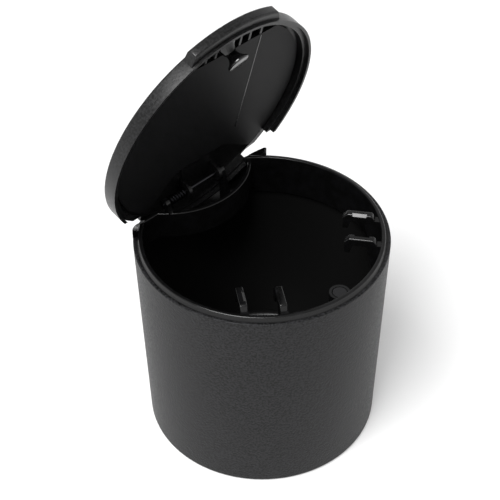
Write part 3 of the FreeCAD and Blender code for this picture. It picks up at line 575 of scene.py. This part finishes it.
def turned_striker(outline):
    """The outline turned about the striker's leaning axis, on the open lid, closed at both ends."""
    points = []
    for radius, depth in outline:
        lean = STRIKER_LEAN * depth / STRIKER_LENGTH
        for side in range(STRIKER_SIDES):
            angle = side / STRIKER_SIDES * math.tau
            behind = radius * math.sin(angle)
            y = STRIKER_Y + depth * math.sin(STRIKER_LEAN) + behind * math.cos(lean)
            rise = STRIKER_SEAT - depth * math.cos(STRIKER_LEAN) + behind * math.sin(lean)
            if rise > LINER_CLEAR:
                y = min(y, LINER_FRONT)
            points.append(on_open_lid(radius * math.cos(angle), y, rise))
    faces = [list(range(STRIKER_SIDES))[::-1], list(range(len(points) - STRIKER_SIDES, len(points)))]
    for row in range(len(outline) - 1):
        for side in range(STRIKER_SIDES):
            here = row * STRIKER_SIDES + side
            beside = row * STRIKER_SIDES + (side + 1) % STRIKER_SIDES
            faces.append([here, beside, beside + STRIKER_SIDES, here + STRIKER_SIDES])
    mesh = bpy.data.meshes.new("turned_striker")
    mesh.from_pydata(points, [], faces)
    smooth(mesh)
    mesh.materials.append(finishes["latch_hook"])
    return mesh


striker = put_in_scene("turned_striker", turned_striker(striker_outline))
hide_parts("latch_hook")
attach(striker, "lid")
print(f"striker: {len(striker.data.polygons)} faces")

# %% [markdown]
# Each pair of rest arms holds a cigarette between them. The facing upper edges of a pair are scooped to make
# its seat, and one polished scoop mirrors the softbox, which is the brightest spot on the ashtray. The scoop
# could be modelled edge by edge, but it is a plain cut, and a cut is a tool taken away from a piece. The tools
# come first: one wedge for each arm, placed by the same azimuth, heading and pitch as the arm.

# %% Rest arms: wedges

REST_AZIMUTH = math.radians(44.1)
REST_HEADING = math.radians(35.0)
REST_PITCH = 10.6
ARM_RISE = 2.6
ARM_HALF = 1.1
RING_BORE = 34.26
SCOOP_START = 0.3
SCOOP_SLOPE = math.tan(math.radians(40))
SCOOP_FROM, SCOOP_TO = 3.8, 7.4
SCOOP_FLARE = 0.5
OVER = 0.6


def scoop_wedges():
    """Four wedges over the facing upper edges of the rest arms."""
    wedges = bmesh.new()
    along = Vector((-math.sin(REST_HEADING), math.cos(REST_HEADING), 0))
    across = Vector((math.cos(REST_HEADING), math.sin(REST_HEADING), 0))
    middle = Vector((math.sin(REST_AZIMUTH), -math.cos(REST_AZIMUTH), 0)) * RING_BORE
    section = [(SCOOP_START - OVER, OVER * SCOOP_SLOPE, SCOOP_FLARE),
               (ARM_HALF + OVER, (SCOOP_START - ARM_HALF - OVER) * SCOOP_SLOPE, 0),
               (ARM_HALF + OVER, OVER * SCOOP_SLOPE, SCOOP_FLARE)]
    for facing in (-1, 1):
        start = middle - across * facing * REST_PITCH / 2
        back = start.dot(along)
        root = start - along * (back + math.sqrt(back ** 2 - start.dot(start) + RING_BORE ** 2))
        for mirror in (-1, 1):
            ends = []
            for end, outward in ((SCOOP_FROM, -1), (SCOOP_TO, 1)):
                for side, rise, flare in section:
                    place = root + along * (end + outward * flare) + across * facing * side
                    place = Vector((mirror * place.x, place.y, RIM_HEIGHT + ARM_RISE + rise))
                    ends.append(wedges.verts.new(place * MM))
            wedges.faces.new(ends[:3])
            wedges.faces.new(ends[3:])
            for corner in range(3):
                after = (corner + 1) % 3
                wedges.faces.new((ends[corner], ends[after], ends[after + 3], ends[corner + 3]))
    bmesh.ops.recalc_face_normals(wedges, faces=wedges.faces)
    mesh = bpy.data.meshes.new("scoop_wedges")
    wedges.to_mesh(mesh)
    wedges.free()
    mesh.materials.append(finishes["rim_ring"])
    return mesh


cutter = put_in_scene("scoop_wedges", scoop_wedges())
print(f"wedges: {len(cutter.data.polygons)} faces")

# %% [markdown]
# A Boolean needs one closed skin to cut from, so the wedges are taken away from a merged copy of the ring. The
# result is kept as a plain mesh, and the wedges go.

# %% Rest arms: scoops

ring = one_skin("rim_ring", "scooped_ring", finishes["rim_ring"])
scoop = ring.modifiers.new("scoop", "BOOLEAN")
scoop.operation = "DIFFERENCE"
scoop.object = cutter
scooped = bpy.data.meshes.new_from_object(ring.evaluated_get(bpy.context.evaluated_depsgraph_get()))
ring.modifiers.clear()
ring.data = scooped
bpy.data.objects.remove(cutter)
smooth(scooped)
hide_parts("rim_ring")
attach(ring, "cup_body")
print(f"scooped_ring: {len(scooped.polygons)} faces")

# %% [markdown]
# The floor is a pale studio table. The camera and reflections see it nearly white, as in a product
# photograph, and it still darkens where the ashtray keeps the light off it, so the soft shadow stays.

# %% Floor

FLOOR_HALF = 4.0
FLOOR_GLOW = 0.31


def pale_table():
    """A matt pale table that glows a little towards the camera and in reflections."""
    material = bpy.data.materials.new("pale_table")
    material.use_nodes = True
    tree = material.node_tree
    tree.nodes.remove(tree.nodes["Principled BSDF"])
    path = add_node(tree, "ShaderNodeLightPath")
    seen = add_node(tree, "ShaderNodeMath", {},
                    {0: path.outputs["Is Camera Ray"], 1: path.outputs["Is Glossy Ray"]}, operation="MAXIMUM")
    glow_level = add_node(tree, "ShaderNodeMath", {1: FLOOR_GLOW}, {0: seen.outputs[0]}, operation="MULTIPLY")
    glow = add_node(tree, "ShaderNodeEmission", {"Color": linear("#ffffff")}, {"Strength": glow_level.outputs[0]})
    matt = add_node(tree, "ShaderNodeBsdfDiffuse", {"Color": linear("#d8d8d8")})
    both = add_node(tree, "ShaderNodeAddShader", {}, {0: glow.outputs[0], 1: matt.outputs[0]})
    tree.links.new(both.outputs[0], tree.nodes["Material Output"].inputs["Surface"])
    return material


floor_mesh = bpy.data.meshes.new("studio_floor")
floor_corners = [(x * FLOOR_HALF, y * FLOOR_HALF, 0) for x, y in ((-1, -1), (1, -1), (1, 1), (-1, 1))]
floor_mesh.from_pydata(floor_corners, [], [(0, 1, 2, 3)])
floor_mesh.materials.append(pale_table())
floor = put_in_scene("studio_floor", floor_mesh)
print("floor", 2 * FLOOR_HALF, "m across")

# %% [markdown]
# The ashtray stands in a white room. The camera sees it as plain white. Mirrored rays see its walls white too
# and its ceiling dimmer, as in a studio whose light comes from the side: that gives black plastic pale edges and
# dark upper faces. Other rays get an even, dimmer room, so that colours come out about as they are written.

# %% White room

ROOM_LIGHT = 0.26
CEILING = 0.4
WALL_TOP = 0.15
CEILING_FROM = 0.65

world = bpy.data.worlds.new("white_room")
bpy.context.scene.world = world
world.use_nodes = True
room = world.node_tree
room.nodes.clear()
ray = add_node(room, "ShaderNodeLightPath")
heading = add_node(room, "ShaderNodeTexCoord")
rise = add_node(room, "ShaderNodeSeparateXYZ", {}, {0: heading.outputs["Generated"]})
mirrored_level = add_node(room, "ShaderNodeMapRange",
                          {"From Min": WALL_TOP, "From Max": CEILING_FROM, "To Min": 1.0, "To Max": CEILING},
                          {"Value": rise.outputs["Z"]})
mirror_ray = add_node(room, "ShaderNodeMath", {},
                      {0: ray.outputs["Is Glossy Ray"], 1: ray.outputs["Is Transmission Ray"]},
                      operation="MAXIMUM")
dim = add_node(room, "ShaderNodeBackground", {"Color": linear("#ffffff"), "Strength": ROOM_LIGHT})
mirrored = add_node(room, "ShaderNodeBackground", {"Color": linear("#ffffff")},
                    {"Strength": mirrored_level.outputs["Result"]})
white = add_node(room, "ShaderNodeBackground", {"Color": linear("#ffffff"), "Strength": 1.0})
unseen = add_node(room, "ShaderNodeMixShader", {},
                  {0: mirror_ray.outputs[0], 1: dim.outputs[0], 2: mirrored.outputs[0]})
mixed = add_node(room, "ShaderNodeMixShader", {},
                 {0: ray.outputs["Is Camera Ray"], 1: unseen.outputs[0], 2: white.outputs[0]})
add_node(room, "ShaderNodeOutputWorld", {}, {"Surface": mixed.outputs[0]})
print("room:", len(room.nodes), "nodes")

# %% [markdown]
# One large softbox hangs at the upper left. A lamp could be smaller and nearer, but a large one gives the soft
# shadow at the right of the photograph, and its distance keeps the floor evenly lit.

# %% Softbox

KEY_PLACE = Vector((-1.3, -0.25, 2.35))
KEY_SIZE = 1.4
KEY_POWER = 94.0

key_data = bpy.data.lights.new("key_softbox", "AREA")
key_data.size = KEY_SIZE
key_data.energy = KEY_POWER
key_aim = Vector((0, 0, cup_high.z)) - KEY_PLACE
key = put_in_scene("key_softbox", key_data)
key.location = KEY_PLACE
key.rotation_euler = key_aim.to_track_quat("-Z", "Y").to_euler()
print(f"softbox {key_aim.length:.2f} m from the rim")

# %% [markdown]
# The camera stands where the photographer stood. Its distance, height and lens were worked out from the
# ellipses of the rim and the base: the rim's centre lies on the lens axis, and the shift puts that point
# where the picture has it.

# %% Camera

VIEW_AZIMUTH = -45.57
VIEW_ELEVATION = 41.2
VIEW_DISTANCE = 0.3903
FOCAL_PIXELS = 1358.5
PICTURE = 500
RIM_CENTRE_PIXEL = (261.98, 233.93)

turn = math.radians(VIEW_AZIMUTH)
lift = math.radians(VIEW_ELEVATION)
back = Vector((math.sin(turn) * math.cos(lift), -math.cos(turn) * math.cos(lift), math.sin(lift)))
camera_data = bpy.data.cameras.new("photograph_camera")
camera = put_in_scene("photograph_camera", camera_data)
camera.location = Vector((0, 0, RIM_HEIGHT * MM)) + back * VIEW_DISTANCE
camera.rotation_euler = (-back).to_track_quat("-Z", "Y").to_euler()
camera_data.lens = camera_data.sensor_width * FOCAL_PIXELS / PICTURE
camera_data.shift_x = (PICTURE / 2 - RIM_CENTRE_PIXEL[0]) / PICTURE
camera_data.shift_y = (RIM_CENTRE_PIXEL[1] - PICTURE / 2) / PICTURE
camera_data.clip_start = VIEW_DISTANCE / 100
camera_data.clip_end = FLOOR_HALF * 10
bpy.context.scene.camera = camera
bpy.context.scene.view_settings.view_transform = "Standard"
print(f"camera {VIEW_DISTANCE / MM:.0f} mm from the rim, lens {camera_data.lens:.1f} mm")
